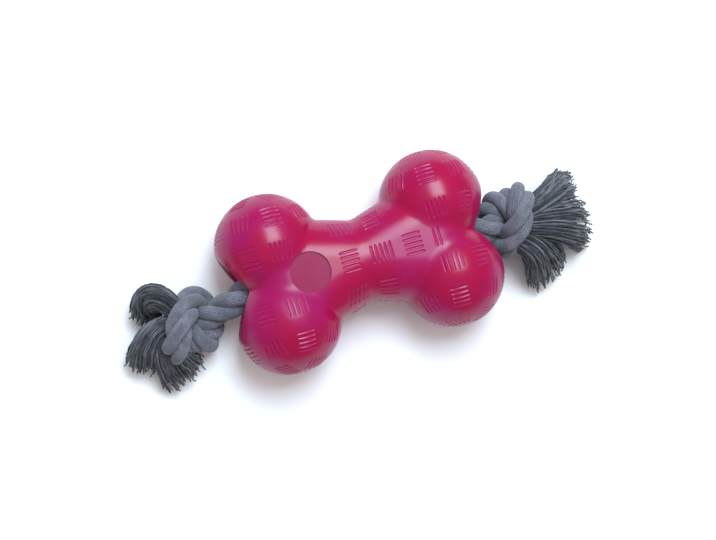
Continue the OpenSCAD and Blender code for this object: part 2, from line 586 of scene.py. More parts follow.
@dataclass
class Grooves:
    """The moulded grooves: short bars in square patches whose direction alternates."""

    sizes: BoneSizes
    length: float = 9.6 * MM
    half_width: float = 0.8 * MM
    depth: float = 0.38 * MM
    pitch: float = 2.4 * MM
    count: int = 5
    clear: float = 0.6 * MM
    shaft_stations: tuple[float, ...] = (-54.0, -43.5, -24.0, -8.0, 8.0, 24.0, 40.0, 54.0)
    shaft_columns: int = 8
    side_from: float = 0.3
    settle_rounds: int = 3
    lobe_spots: tuple[tuple[float, float, Lie], ...] = (
        (-12, -8, Lie.ACROSS), (-12, 28, Lie.ALONG), (-12, 136, Lie.ACROSS), (-12, 172, Lie.ALONG),
        (27, -49, Lie.ACROSS), (27, -9, Lie.ALONG), (27, 31, Lie.ACROSS), (27, 71, Lie.ALONG),
        (27, 111, Lie.ACROSS), (27, 151, Lie.ALONG), (27, 191, Lie.ACROSS), (27, 231, Lie.ALONG),
        (62, -104, Lie.ALONG), (62, -32, Lie.ACROSS), (62, 40, Lie.ALONG), (62, 140, Lie.ACROSS),
        (62, 196, Lie.ALONG), (90, 0, Lie.ACROSS),
    )

    def patches(self) -> list[Patch]:
        """Lay the patches out on the shaft and on the lobes.

        Returns:
            The patches.
        """
        s = self.sizes
        found: list[Patch] = []
        turn = 360.0 / self.shaft_columns
        for i, station in enumerate(self.shaft_stations):
            x = station * MM
            share, thick = s.share(x), s.thick(x)
            for k in range(self.shaft_columns):
                angle = math.radians(k * turn)
                side, up = math.sin(angle), math.cos(angle)
                # A column that faces to a side starts from the spread shaft's edge on that side.
                edge = (side > self.side_from) - (side < -self.side_from)
                reach = s.arm_side * share * edge
                centre = Vector((x, thick * side + reach, s.lobe_r + thick * up))
                out = Vector((0.0, side, up))
                ahead = Vector((1.0, 0.0, 0.0))
                lie = Lie((i + k + 1) % 2)
                along = ahead if lie is Lie.ALONG else out.cross(ahead)
                found.append(Patch(centre, out, along))
        for end, side, middle in s.hubs():
            for lat, lon, lie in self.lobe_spots:
                tilt, turn = math.radians(lat), math.radians(lon)
                level = math.cos(tilt)
                out = Vector((end * level * math.sin(turn), side * math.sin(tilt), level * math.cos(turn)))
                east = Vector((end * math.cos(turn), 0.0, -math.sin(turn)))
                along = east if lie is Lie.ALONG else out.cross(east)
                found.append(Patch(middle + out * s.lobe_r, out, along, middle))
        return found

    def _spine(self, point: Vector) -> tuple[Vector, float]:
        """Find the middle of the shaft nearest to a point.

        Args:
            point: The point.

        Returns:
            The place in the shaft's middle, and the shaft's radius round it.
        """
        s = self.sizes
        side = s.arm_side * s.share(point.x)
        nearest = (max(min(point.x, s.arm_reach), -s.arm_reach), max(min(point.y, side), -side), s.lobe_r)
        return Vector(nearest), s.thick(point.x)

    def _free(self, point: Vector, patch: Patch) -> bool:
        """Tell whether a point is clear of every form but its patch's own.

        Args:
            point: A point on a lobe or on the shaft.
            patch: The patch that it belongs to.

        Returns:
            Whether a groove may reach it.
        """
        s = self.sizes
        centre, r = self._spine(point)
        others = [(point - hub).length - s.lobe_r for _, _, hub in s.hubs() if hub != patch.hub]
        if patch.hub is not None:
            others.append((point - centre).length - r)
        bore = math.hypot(point.y, point.z - s.lobe_r) - s.bore_r - max(abs(point.x) - s.mouth_reach, 0.0)
        return min(*others, bore) > self.clear

    def bars(self, blocked: Sequence[tuple[Vector, float]]) -> list[Patch]:
        """Split the patches into grooves, without those that would cross a crease or lie alone.

        Args:
            blocked: Balls, as centre and radius, that no groove may enter.

        Returns:
            One patch entry for each groove.
        """
        kept = []
        for patch in self.patches():
            across = patch.out.cross(patch.along)
            row = []
            for k in range(self.count):
                middle = patch.centre + across * (k - (self.count - 1) / 2) * self.pitch
                middle = self._onto(middle, patch)
                ends = [self._onto(middle + patch.along * (end * self.length / 2), patch) for end in (-1, 1)]
                points = (middle, *ends)
                if all(self._free(p, patch) for p in points) and not any(
                    (p - centre).length < r for p in points for centre, r in blocked
                ):
                    row.append(Patch(middle, patch.out, patch.along))
            if len(row) > 1:
                kept += row
        return kept

    def _onto(self, point: Vector, patch: Patch) -> Vector:
        """Bring a point near a patch down to the lobe or shaft under it.

        Args:
            point: The point.
            patch: The patch that it belongs to.

        Returns:
            The point on the surface.
        """
        if patch.hub is not None:
            return patch.hub + (point - patch.hub).normalized() * self.sizes.lobe_r
        for _ in range(self.settle_rounds):
            centre, r = self._spine(point)
            point = centre + (point - centre).normalized() * r
        return point

    def seeds(self, blocked: Sequence[tuple[Vector, float]]) -> bpy.types.Mesh:
        """Make the point mesh that the groove tree grows from.

        Args:
            blocked: Balls that no groove may enter.

        Returns:
            A mesh with one vertex for each groove, and its directions as attributes.
        """
        bars = self.bars(blocked)
        LOG.info("grooves: %d bars", len(bars))
        mesh = bpy.data.meshes.new("groove_seeds")
        mesh.from_pydata([bar.centre for bar in bars], [], [])
        for name, rows in (("along", [b.along for b in bars]), ("out", [b.out for b in bars])):
            layer = mesh.attributes.new(name, "FLOAT_VECTOR", "POINT")
            layer.data.foreach_set("vector", [c for row in rows for c in row])
        return mesh


@dataclass
class MouldedBone:
    """The bone: one rubber moulding with its bore, grooves and round pad."""

    sizes: BoneSizes = field(default_factory=BoneSizes)
    voxel: float = 1.0 * MM
    pad_r: float = 10.2 * MM
    pad_reach: float = 28.5 * MM
    pad_depth: float = 1.0 * MM
    groove_end_share: float = 0.35
    groove_end_power: float = 8.0
    groove_stations: int = 9
    settle_rounds: int = 3
    keen_deg: float = 40.0
    margin_voxels: float = 3.0
    pad_sides: int = 96
    drum_depths: float = 4.0

    def pad_place(self) -> tuple[Vector, float]:
        """Find where the round pad is.

        Returns:
            The pad's middle on the shaft's top, and the shaft's slope there in radians.
        """
        s = self.sizes
        slope = math.atan((s.arm_r - s.waist_r) / s.arm_reach)
        return Vector((-self.pad_reach, 0.0, s.lobe_r + s.thick(self.pad_reach))), slope

    def build(self, rubber: bpy.types.Material) -> bpy.types.Object:
        """Grow the bone.

        Args:
            rubber: The bone's material.

        Returns:
            The piece.
        """
        form = BoneForm(self.sizes)
        grooves = Grooves(self.sizes)
        centre, slope = self.pad_place()
        carrier = put("groove_seeds", grooves.seeds([(centre, self.pad_r + grooves.clear)]))
        tree = self._skin_tree(form)
        values = {
            **self.sizes.named(),
            "Voxel": self.voxel,
            "Groove seeds": carrier,
            "Groove length": grooves.length,
            "Groove half width": grooves.half_width,
            "Groove depth": grooves.depth,
            "Pad r": self.pad_r,
            "Pad depth": self.pad_depth,
            "Pad centre": tuple(centre),
            "Pad slope": slope,
            "Rubber": rubber,
        }
        piece = grown("bone_skin", bpy.data.meshes.new("bone_seed"), tree, values)
        bpy.data.objects.remove(carrier)
        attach(piece, "bone")
        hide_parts("bone_body")
        return piece

    def _skin_tree(self, form: BoneForm) -> Group:
        """Build the tree that moulds the skin and cuts the grooves and the pad.

        Args:
            form: The rule of the bone's surface.

        Returns:
            The tree.
        """
        tree = Group("Moulded bone")
        tree.given("Geometry", Socket.SHAPE)
        sizes = {name: tree.given(name) for name in self.sizes.named()}
        voxel = tree.given("Voxel")
        seeds = tree.given("Groove seeds", Socket.OBJECT)
        groove = {name: tree.given("Groove " + name) for name in ("length", "half width", "depth")}
        pad_r, pad_depth = tree.given("Pad r"), tree.given("Pad depth")
        pad_centre, pad_slope = tree.given("Pad centre", Socket.VECTOR), tree.given("Pad slope")
        rubber = tree.given("Rubber", Socket.MATERIAL)

        margin = voxel * self.margin_voxels
        half = tree.vector(
            sizes["Lobe reach"] + sizes["Lobe r"] + margin,
            sizes["Lobe side"] + sizes["Lobe r"] + margin,
            sizes["Lobe r"] + margin,
        )
        middle = tree.vector(0.0, 0.0, sizes["Lobe r"])
        counts = [part * 2.0 / voxel for part in half.parts()]
        inside = -form.distance(tree, sizes, tree.position())
        volume = tree.take(
            "GeometryNodeVolumeCube",
            {
                "Density": inside / voxel,
                "Background": -1.0,
                "Min": middle - half,
                "Max": middle + half,
                "Resolution X": counts[0],
                "Resolution Y": counts[1],
                "Resolution Z": counts[2],
            },
        )
        skin = tree.take("GeometryNodeVolumeToMesh", {"Volume": volume, "Threshold": 0.0})
        skin = form.settle(tree, sizes, skin, self.settle_rounds)
        bars = self._groove_cutters(tree, form, sizes, groove, seeds)
        pad = self._pad_cutter(tree, pad_r, pad_depth, pad_centre, pad_slope)
        cut = tree.node(
            "GeometryNodeMeshBoolean", {"Mesh 1": skin}, operation="DIFFERENCE", solver="MANIFOLD"
        )
        for cutter in (bars, pad):
            tree.feed(cut.inputs["Mesh 2"], cutter)
        skin = tree.smoothed(tree.out(cut, 0))
        angle = tree.take("GeometryNodeInputMeshEdgeAngle")
        keen = tree.math("GREATER_THAN", angle, math.radians(self.keen_deg))
        # The faces' mark averages a half on an edge between a groove and the skin round it.
        lip = tree.math("COMPARE", tree.attribute("groove"), 0.5, 0.2)
        keen = tree.highest(keen, lip)
        skin = tree.take(
            "GeometryNodeSetShadeSmooth",
            {"Geometry": skin, "Selection": keen, "Shade Smooth": False},
            domain="EDGE",
        )
        tree.give(skin, rubber)
        return tree

    def _groove_cutters(
        self, tree: Tree, form: BoneForm, sizes: dict[str, Flow], groove: dict[str, Flow], seeds: Flow
    ) -> Flow:
        """Lay a cutter along the skin at every groove's seed.

        Args:
            tree: The tree to build in.
            form: The rule of the bone's surface.
            sizes: The bone's sizes in the tree.
            groove: The groove's sizes in the tree.
            seeds: The object whose vertices are the grooves' middles.

        Returns:
            The cutters, with a mark on the faces that they leave in the skin.
        """
        points = tree.take("GeometryNodeObjectInfo", {"Object": seeds}, out="Geometry")
        half = groove["length"] * 0.5
        line = tree.straight(
            tree.vector(-half, 0.0, 0.0), tree.vector(half, 0.0, 0.0), self.groove_stations
        )
        share = tree.along() * 2.0 - 1.0
        spot = tree.vector(tree.math("SINE", share * (math.pi / 2)) * half, 0.0, 0.0)
        line = tree.moved(line, Position=spot)
        turn = tree.take(
            "FunctionNodeAxesToRotation",
            {
                "Primary Axis": tree.attribute("along", "FLOAT_VECTOR"),
                "Secondary Axis": tree.attribute("out", "FLOAT_VECTOR"),
            },
            primary_axis="X",
            secondary_axis="Z",
        )
        lines = form.settle(tree, sizes, tree.copied(points, line, Rotation=turn), self.settle_rounds)
        _, slope = form.slope(tree, sizes, tree.position())
        lines = tree.take(
            "GeometryNodeSetCurveNormal", {"Curve": lines, "Normal": tree.unit(slope)}, mode="FREE"
        )
        reach = tree.math("ABSOLUTE", tree.along() * 2.0 - 1.0)
        worn = tree.math("POWER", reach, self.groove_end_power)
        full = tree.math("SQRT", tree.highest(tree.math("SUBTRACT", 1.0, worn), 0.0))
        radius = full * (1.0 - self.groove_end_share) + self.groove_end_share
        bars = tree.swept(lines, self._groove_section(tree, groove), radius)
        return tree.stored(bars, "groove", 1.0, domain="FACE")

    @staticmethod
    def _groove_section(tree: Tree, groove: dict[str, Flow]) -> Flow:
        """Draw the cutter's section: a round bottom below the skin and a wider top above it.

        Args:
            tree: The tree to build in.
            groove: The groove's sizes in the tree.

        Returns:
            A closed curve across the groove.
        """
        shares = (
            (0.8, 0.3), (0.52, 0.74), (0.22, 1.0), (-0.22, 1.0), (-0.52, 0.74), (-0.8, 0.3),
            (-1.0, 0.0), (-1.25, -0.6), (1.25, -0.6), (1.0, 0.0),
        )
        index = tree.take("GeometryNodeInputIndex")
        across: Value = 0.0
        down: Value = 0.0
        for k, (wide, deep) in enumerate(shares):
            here = tree.math("COMPARE", index, float(k), 0.1)
            across = here * wide + across
            down = here * deep + down
        spot = tree.vector(-down * groove["depth"], across * groove["half width"], 0.0)
        return tree.moved(tree.circle(len(shares)), Position=spot)

    def _pad_cutter(self, tree: Tree, pad_r: Flow, pad_depth: Flow, centre: Flow, slope: Flow) -> Flow:
        """Make the drum that sinks the round pad.

        Args:
            tree: The tree to build in.
            pad_r: The pad's radius.
            pad_depth: Its depth.
            centre: Its middle on the shaft's top.
            slope: The shaft's slope there, in radians.

        Returns:
            The cutter, with a mark on the faces that it leaves in the skin.
        """
        drum = tree.take(
            "GeometryNodeMeshCylinder",
            {"Vertices": self.pad_sides, "Radius": pad_r, "Depth": pad_depth * self.drum_depths},
            fill_type="NGON",
        )
        lifted = tree.take(
            "GeometryNodeTransform", {"Geometry": drum, "Translation": tree.vector(0.0, 0.0, pad_depth)}
        )
        placed = tree.take(
            "GeometryNodeTransform",
            {"Geometry": lifted, "Translation": centre, "Rotation": tree.vector(0.0, slope, 0.0)},
        )
        return tree.stored(placed, "pad", 1.0, domain="FACE")


# ---- The rope --------------------------------------------------------------------------------


SPAN_STEPS = 24
EASING_ROUNDS = 30


def lengths_along(line: np.ndarray) -> np.ndarray:
    """Measure the length along a line at each of its points."""
    return np.concatenate([[0.0], np.cumsum(np.linalg.norm(np.diff(line, axis=0), axis=1))])


def smooth_line(points: Sequence[Sequence[float]], step: float) -> np.ndarray:
    """Draw a smooth line through points, with even steps.

    Args:
        points: The points that it passes through.
        step: The distance from one point of the line to the next.

    Returns:
        The line's points, one a row.
    """
    knots = np.asarray(points, float)
    padded = np.vstack([2 * knots[0] - knots[1], knots, 2 * knots[-1] - knots[-2]])
    t = np.linspace(0.0, 1.0, SPAN_STEPS, endpoint=False)[:, None]
    spans = []
    for a, b, c, d in zip(padded, padded[1:], padded[2:], padded[3:]):
        spans.append(
            0.5 * (2 * b + (c - a) * t + (2 * a - 5 * b + 4 * c - d) * t**2 + (3 * b - a - 3 * c + d) * t**3)
        )
    line = np.vstack([*spans, knots[-1:]])
    for _ in range(EASING_ROUNDS):
        line[1:-1] = 0.5 * line[1:-1] + 0.25 * (line[:-2] + line[2:])
    run = lengths_along(line)
    places = np.linspace(0.0, run[-1], max(2, round(run[-1] / step)) + 1)
    return np.stack([np.interp(places, run, line[:, k]) for k in range(3)], axis=1)


def polyline(name: str, points: np.ndarray, **numbers: np.ndarray) -> bpy.types.Mesh:
    """Make a mesh of one open line.

    Args:
        name: The mesh's name.
        points: The line's points.
        numbers: A number for each point, by attribute name.

    Returns:
        The mesh.
    """
    mesh = bpy.data.meshes.new(name)
    mesh.from_pydata(points.tolist(), [(k, k + 1) for k in range(len(points) - 1)], [])
    for label, values in numbers.items():
        layer = mesh.attributes.new(label, "FLOAT", "POINT")
        layer.data.foreach_set("value", np.asarray(values, np.float32))
    return mesh


@dataclass(frozen=True)
class OverhandKnot:
    """An overhand knot drawn tight: half of its line, which a half turn carries to the rest.

    The half starts in the middle of the pass that crosses on top, and runs to where the rope
    comes in from the bone. Its points are in millimetres: along the rope, and two ways across.
    """

    centre: Triple
    outward: int
    turn_deg: float = 55.0
    plan_deg: float = 0.0
    along_share: float = 0.8
    across_share: float = 0.97
    half: tuple[Triple, ...] = (
        (0.0, 10.5, 0.0), (3.0, 10.2, -5.4), (6.3, 8.1, -10.2), (9.9, 3.6, -12.7), (12.1, -2.0, -12.0),
        (12.2, -7.5, -8.0), (10.5, -10.4, -3.0), (7.2, -10.0, 1.8), (2.8, -7.2, 5.0), (-2.0, -3.0, 4.9),
        (-7.0, 0.2, 3.0), (-12.5, 1.8, 1.2), (-18.5, 3.2, 0.3),
    )

    def line(self) -> list[Vector]:
        """Place the knot's line in the frame, from the bone outwards.

        Returns:
            Its points, in metres.
        """
        far = [(-x, y, -z) for x, y, z in self.half[1:-1]]
        turn = math.radians(self.turn_deg)
        plan = Matrix.Rotation(math.radians(self.plan_deg), 3, "Z")
        placed = []
        for x, y, z in [*reversed(self.half), *far]:
            x, y, z = x * self.along_share, y * self.across_share, z * self.across_share
            side = y * math.sin(turn) + z * math.cos(turn)
            up = y * math.cos(turn) - z * math.sin(turn)
            spot = Vector((self.outward * x, -self.outward * side, up))
            placed.append((Vector(self.centre) + plan @ spot) * MM)
        return placed


@dataclass
class Rope:
    """One three-strand rope: through the bore, knotted at both ends."""

    rope_r: float = 7.1 * MM
    knot_r: float = 6.7 * MM
    fullness: float = 1.14
    lay_pitch: float = 44.0 * MM
    step: float = 1.2 * MM
    strands: int = 3
    squeeze_reach: float = 20.0 * MM
    squeeze_ramp: float = 6.0 * MM
    axis_slack: float = 4.0 * MM
    section_sides: int = 24
    left_cut: float = -50.0 * MM
    right_cut: float = 50.0 * MM
    left_knot: OverhandKnot = OverhandKnot((-90.0, -7.5, 17.5), -1)
    right_knot: OverhandKnot = OverhandKnot((78.8, 0.3, 25.5), 1, along_share=0.65)
    left_end: Triple = (-101.5, -5.5, 16.5)
    left_neck: tuple[Triple, ...] = ((-69.0, -3.2, 22.0), (-62.0, -0.7, 25.8), (-55.0, 0.0, 26.5))
    core: tuple[Triple, ...] = ((-45.0, 0.0, 26.5), (0.0, 0.0, 26.5), (48.0, 0.0, 26.5))
    right_neck: tuple[Triple, ...] = ((57.0, -0.5, 26.5),)
    right_end: Triple = (89.0, -2.5, 24.5)

    def centreline(self) -> tuple[np.ndarray, np.ndarray]:
        """Run the rope's middle line from its left end to its right end.

        Returns:
            The line's points, and how thick the rope is at each as a share of its free thickness.
        """
        left = [tuple(v / MM for v in p) for p in reversed(self.left_knot.line())]
        right = [tuple(v / MM for v in p) for p in self.right_knot.line()]
        rows = [self.left_end, *left, *self.left_neck, *self.core, *self.right_neck, *right, self.right_end]
        line = smooth_line(np.asarray(rows) * MM, self.step)
        girth = np.ones(len(line))
        for knot in (self.left_knot, self.right_knot):
            far = np.abs(line[:, 0] - knot.centre[0] * MM)
            tight = np.clip((self.squeeze_reach - far) / self.squeeze_ramp, 0.0, 1.0)
            girth = np.minimum(girth, 1 - (1 - self.knot_r / self.rope_r) * tight)
        return line, girth

    def _strand_tree(self) -> Group:
        """Build the tree that lays the strands round a line.

        Returns:
            The tree.
        """
        tree = Group("Laid rope")
        route = tree.given("Geometry", Socket.SHAPE)
        rope_r, pitch = tree.given("Rope r"), tree.given("Lay pitch")
        start, end, fullness = tree.given("Start"), tree.given("End"), tree.given("Fullness")
        cloth = tree.given("Cotton", Socket.MATERIAL)
        # The radius of three equal strands that touch inside a rope of radius one.
        share = 1.0 / (1.0 + 2.0 / math.sqrt(3.0))
        curve = tree.take("GeometryNodeMeshToCurve", {"Mesh": route})
        copies = tree.node(
            "GeometryNodeDuplicateElements", {"Geometry": curve, "Amount": self.strands}, domain="SPLINE"
        )
        strands = tree.stored(tree.out(copies, 0), "run", tree.along("Length"))
        strands = tree.stored(strands, "strand", tree.math("DIVIDE", tree.out(copies, 1), float(self.strands)))
        turn = (tree.attribute("strand") + tree.attribute("run") / pitch) * math.tau
        ahead = tree.take("GeometryNodeInputTangent")
        out = tree.take("GeometryNodeInputNormal")
        aside = tree.cross(ahead, out)
        girth = tree.attribute("girth")
        cosine, sine = tree.turned(turn)
        lean = out * cosine + aside * sine
        strands = tree.moved(strands, Offset=lean * (rope_r * girth * (1.0 - share)))
        here = tree.attribute("run")
        outside = tree.highest(
            tree.math("LESS_THAN", here, start), tree.math("GREATER_THAN", here, end)
        )
        strands = tree.take(
            "GeometryNodeDeleteGeometry", {"Geometry": strands, "Selection": outside}, domain="POINT"
        )
        around = tree.vector(*tree.turned(tree.along() * math.tau), 0.0)
        section = tree.stored(tree.circle(self.section_sides), "round", around, "FLOAT_VECTOR")
        body = tree.swept(strands, section, rope_r * girth * fullness * share)
        tree.give(tree.smoothed(body), cloth)
        return tree

    def build(self, cotton: bpy.types.Material) -> dict[str, bpy.types.Object]:
        """Lay the rope in three pieces: the left end, the core and the right end.

        Args:
            cotton: The rope's material.

        Returns:
            The pieces by name.
        """
        line, girth = self.centreline()
        run = lengths_along(line)
        inside = np.abs(line[:, 1]) < self.axis_slack
        left = run[np.argmax((line[:, 0] > self.left_cut) & inside)]
        right = run[np.argmax(line[:, 0] > self.right_cut)]
        tree = self._strand_tree()
        pieces = {}
        for name, start, end in (
            ("left_rope", -1.0, left + self.step),
            ("core_rope", left, right + self.step),
            ("right_rope", right, run[-1] + 1.0),
        ):
            route = polyline(name + "_route", line, girth=girth)
            values = {
                "Rope r": self.rope_r, "Lay pitch": self.lay_pitch, "Start": start, "End": end,
                "Fullness": self.fullness, "Cotton": cotton,
            }
            pieces[name] = grown(name, route, tree, values)
        self._declare(pieces, run, left, right)
        return pieces

    def _declare(
        self, pieces: dict[str, bpy.types.Object], run: np.ndarray, left: float, right: float
    ) -> None:
        """Tie the core and the right end to the rope's body, leave the left end baked in place, and log the free
        ends' lengths.

        Args:
            pieces: The rope's pieces by name.
            run: The length along it at each point.
            left: The length at which the left end starts.
            right: The length at which the right end starts.
        """
        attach(pieces["core_rope"], "rope")
        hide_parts("rope_core")
        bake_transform(pieces["left_rope"])
        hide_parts("left_neck", "left_knot")
        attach(pieces["right_rope"], "rope")
        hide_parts("right_knot")
        for side, free in (("left", left), ("right", run[-1] - right)):
            LOG.info("%s free length %.1f mm", side, free / MM)


@dataclass(frozen=True)
class Tuft:
    """One strand's frayed end: where its yarns start, the way they take and how far they spread."""

    name: str
    node: str
    body: str
    knot_body: str
    root: Triple
    way: tuple[Triple, ...]
    wide: float
    high: float
    seed: int


@dataclass
class Tassels:
    """The frayed ends: loose cotton yarns that leave each knot in three tufts."""

    yarn_r: float = 0.36 * MM
    root_r: float = 4.8 * MM
    yarns: int = 260
    stations: int = 22
    wave: float = 3.0 * MM
    clump_scale: float = 3.4
    clump_pull: float = 0.5
    reach_span: tuple[float, float] = (0.8, 1.05)
    stray_stride: float = 91.0
    stray_lag: float = 7.0
    stray_pace: float = 3.4
    thinnest: float = 0.75
    thick_span: float = 0.5
    floor_clear: float = 1.3
    section_sides: int = 6
    first_seed: int = 11
    seed_step: int = 7

    def tufts(self) -> list[Tuft]:
        """List the six tufts.

        Returns:
            The tufts.
        """
        rows = (
            ("left", (-95, 1, 20), "upper", ((-101, 9, 25), (-107, 10, 18), (-110, 3, 6)), 8.0, 6.5),
            ("left", (-98, -4, 18), "middle", ((-107, -7, 22), (-114, -14, 15), (-117, -20, 5)), 10.5, 6.5),
            ("left", (-96, -8, 17), "lower", ((-101, -15, 20), (-101, -23, 13), (-98, -30, 5)), 12.5, 6.5),
            ("right", (85, -1, 28), "upper", ((97, 3, 31), (110, 8, 23), (121, 12, 7)), 8.5, 5.5),
            ("right", (84, -4, 27), "middle", ((99, -7, 30), (113, -10, 21), (123, -12, 4)), 15.0, 7.0),
            ("right", (80, -8, 24), "lower", ((88, -16, 27), (94, -24, 18), (98, -31, 3)), 14.0, 7.0),
        )
        return [
            Tuft(
                name=f"{side}_{place}_yarns",
                node=f"{side}_tuft_{place}",
                body=f"{side}_tassel",
                knot_body="left_end" if side == "left" else "rope",
                root=root,
                way=way,
                wide=wide * MM,
                high=high * MM,
                seed=self.first_seed + self.seed_step * k,
            )
            for k, (side, root, place, way, wide, high) in enumerate(rows)
        ]

    def _yarn_tree(self) -> Group:
        """Build the tree that lets yarns run along a way, spreading and curling as they go.

        Returns:
            The tree.
        """
        tree = Group("Loose yarns")
        route = tree.given("Geometry", Socket.SHAPE)
        count, seed = tree.given("Count", Socket.WHOLE), tree.given("Seed", Socket.WHOLE)
        root_r, wide, high = tree.given("Root r"), tree.given("Wide"), tree.given("High")
        yarn_r, wave = tree.given("Yarn r"), tree.given("Wave")
        cloth = tree.given("Cotton", Socket.MATERIAL)

        def chance(low: float, high_end: float, salt: int) -> Flow:
            """Draw one number for each yarn."""
            return tree.take(
                "FunctionNodeRandomValue",
                {"Min": low, "Max": high_end, "Seed": seed + float(salt)},
                out="Value",
                data_type="FLOAT",
            )

        curve = tree.take("GeometryNodeMeshToCurve", {"Mesh": route})
        points = tree.take("GeometryNodePoints", {"Count": count})
        angle, reach = chance(0.0, math.tau, 1), tree.math("SQRT", chance(0.0, 1.0, 2))
        cosine, sine = tree.turned(angle)
        spot = tree.vector(cosine * reach, sine * reach, chance(*self.reach_span, 3))
        points = tree.stored(points, "spot", spot, "FLOAT_VECTOR")
        points = tree.stored(points, "yarn", chance(0.0, 1.0, 4))
        yarns = tree.copied(points, tree.straight((0.0, 0.0, 0.0), (1.0, 0.0, 0.0), self.stations))
        aside, lift, far = tree.attribute("spot", "FLOAT_VECTOR").parts()
        t = tree.along() * far
        sample = tree.node(
            "GeometryNodeSampleCurve", {"Curves": curve, "Factor": tree.lowest(t, 1.0)}, use_all_curves=True
        )
        place, ahead = tree.out(sample, "Position"), tree.out(sample, "Tangent")
        past = tree.highest(t - 1.0, 0.0) * tree.take("GeometryNodeCurveLength", {"Curve": curve})
        level = tree.unit(tree.cross((0.0, 0.0, 1.0), ahead))
        rise = tree.cross(ahead, level)
        clump = tree.take(
            "ShaderNodeTexVoronoi",
            {"Vector": tree.vector(aside, lift, seed), "Scale": self.clump_scale},
            out="Position",
            voronoi_dimensions="3D",
        )
        bunch_x, bunch_y, _ = clump.parts()
        pull = t * t * self.clump_pull
        aside = aside + (bunch_x - aside) * pull
        lift = lift + (bunch_y - lift) * pull
        swell = tree.math("SINE", tree.lowest(t, 1.0) * (math.pi / 2))
        spread = root_r + (wide - root_r) * swell
        depth = root_r + (high - root_r) * swell
        yarn = tree.attribute("yarn")
        noise = tree.take(
            "ShaderNodeTexNoise",
            {
                "Vector": tree.vector(
                    yarn * self.stray_stride, t * self.stray_pace + yarn * self.stray_lag, seed
                ),
                "Scale": 1.0,
                "Detail": 3.0,
            },
            out="Color",
            noise_dimensions="3D",
        )
        stray = (noise - (0.5, 0.5, 0.5)) * (wave * 2.0 * tree.math("SQRT", t))
        spot = place + ahead * past + level * (aside * spread) + rise * (lift * depth) + stray
        x, y, z = spot.parts()
        spot = tree.vector(x, y, tree.highest(z, yarn_r * self.floor_clear))
        yarns = tree.moved(yarns, Position=spot)
        yarns = tree.stored(yarns, "run", tree.along("Length"))
        section = tree.circle(self.section_sides)
        thick = yarn_r * (self.thinnest + yarn * self.thick_span)
        tree.give(tree.smoothed(tree.swept(yarns, section, thick)), cloth)
        return tree

    def build(self, cotton: bpy.types.Material) -> list[bpy.types.Object]:
        """Grow the tufts.

        Args:
            cotton: The yarns' material.

        Returns:
            The pieces.
        """
        tree = self._yarn_tree()
        pieces = []
        for tuft in self.tufts():
            way = smooth_line(np.asarray([tuft.root, *tuft.way]) * MM, 1.0 * MM)
            values = {
                "Count": self.yarns, "Seed": tuft.seed, "Root r": self.root_r, "Wide": tuft.wide,
                "High": tuft.high, "Yarn r": self.yarn_r, "Wave": self.wave, "Cotton": cotton,
            }
            piece = grown(tuft.name, polyline(tuft.name + "_way", way), tree, values)
            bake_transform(piece)
            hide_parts(tuft.node)
            pieces.append(piece)
        return pieces


# ---- Finishes --------------------------------------------------------------------------------


def relief_group() -> Group:
    """Build the fine unevenness that rubber and cotton share.

    Returns:
        A group that gives a height and a slow mottling from a place.
    """
    tree = Group("Fine unevenness", "ShaderNodeTree")
    place = tree.given("Place", Socket.VECTOR)
    fine, broad = tree.given("Fine scale"), tree.given("Broad scale")
    grain = tree.take("ShaderNodeTexNoise", {"Vector": place, "Scale": fine, "Detail": 4.0, "Roughness": 0.6})
    mottle = tree.take("ShaderNodeTexNoise", {"Vector": place, "Scale": broad, "Detail": 3.0, "Roughness": 0.5})
    tree.result("Grain", grain, Socket.NUMBER)
    tree.result("Mottle", mottle, Socket.NUMBER)
    return tree


class Paint:
    """A material's node tree, with the same short calls as the other trees."""

    def __init__(self, name: str) -> None:
        """Start a material.

        Args:
            name: The material's name.
        """
        self.material = bpy.data.materials.new(name)
        self.material.use_nodes = True
        self.tree = Tree(self.material.node_tree)
        self.skin = self.material.node_tree.nodes["Principled BSDF"]

    def set(self, **inputs: Value) -> None:
        """Feed the surface's inputs, by their names with underscores."""
        for name, value in inputs.items():
            self.tree.feed(self.skin.inputs[name.replace("_", " ")], value)

    def place(self) -> Flow:
        """Read the place on the piece."""
        return self.tree.take("ShaderNodeTexCoord", out="Object")

    def mark(self, name: str, out: str = "Fac") -> Flow:
        """Read a named attribute of the piece, as a number or as its Vector."""
        return self.tree.take("ShaderNodeAttribute", out=out, attribute_name=name)

    def relief(self, group: Group, place: Flow, fine: float, broad: float) -> tuple[Flow, Flow]:
        """Run the shared unevenness.

        Args:
            group: The shared group.
            place: Where on the piece.
            fine: The grain's scale.
            broad: The mottling's scale.

        Returns:
            The grain and the mottling.
        """
        node = self.tree.node(
            "ShaderNodeGroup", {"Place": place, "Fine scale": fine, "Broad scale": broad}, node_tree=group.group
        )
        return self.tree.out(node, "Grain"), self.tree.out(node, "Mottle")

    def blend(self, share: Value, first: Value, second: Value) -> Flow:
        """Mix two colours, each a value or its red, green and blue."""
        first, second = ((*c, 1.0) if isinstance(c, tuple) else c for c in (first, second))
        return self.tree.take("ShaderNodeMix", {0: share, 6: first, 7: second}, out=2, data_type="RGBA")

    def spread(self, value: Value, low: float, high: float, new_low: float, new_high: float) -> Flow:
        """Carry a range of numbers over to another range."""
        return self.tree.take(
            "ShaderNodeMapRange",
            {"Value": value, "From Min": low, "From Max": high, "To Min": new_low, "To Max": new_high},
            interpolation_type="SMOOTHSTEP",
        )

    def bump(self, height: Value, distance: float, strength: float = 1.0) -> Flow:
        """Turn a height into a normal."""
        return self.tree.take("ShaderNodeBump", {"Height": height, "Distance": distance, "Strength": strength})


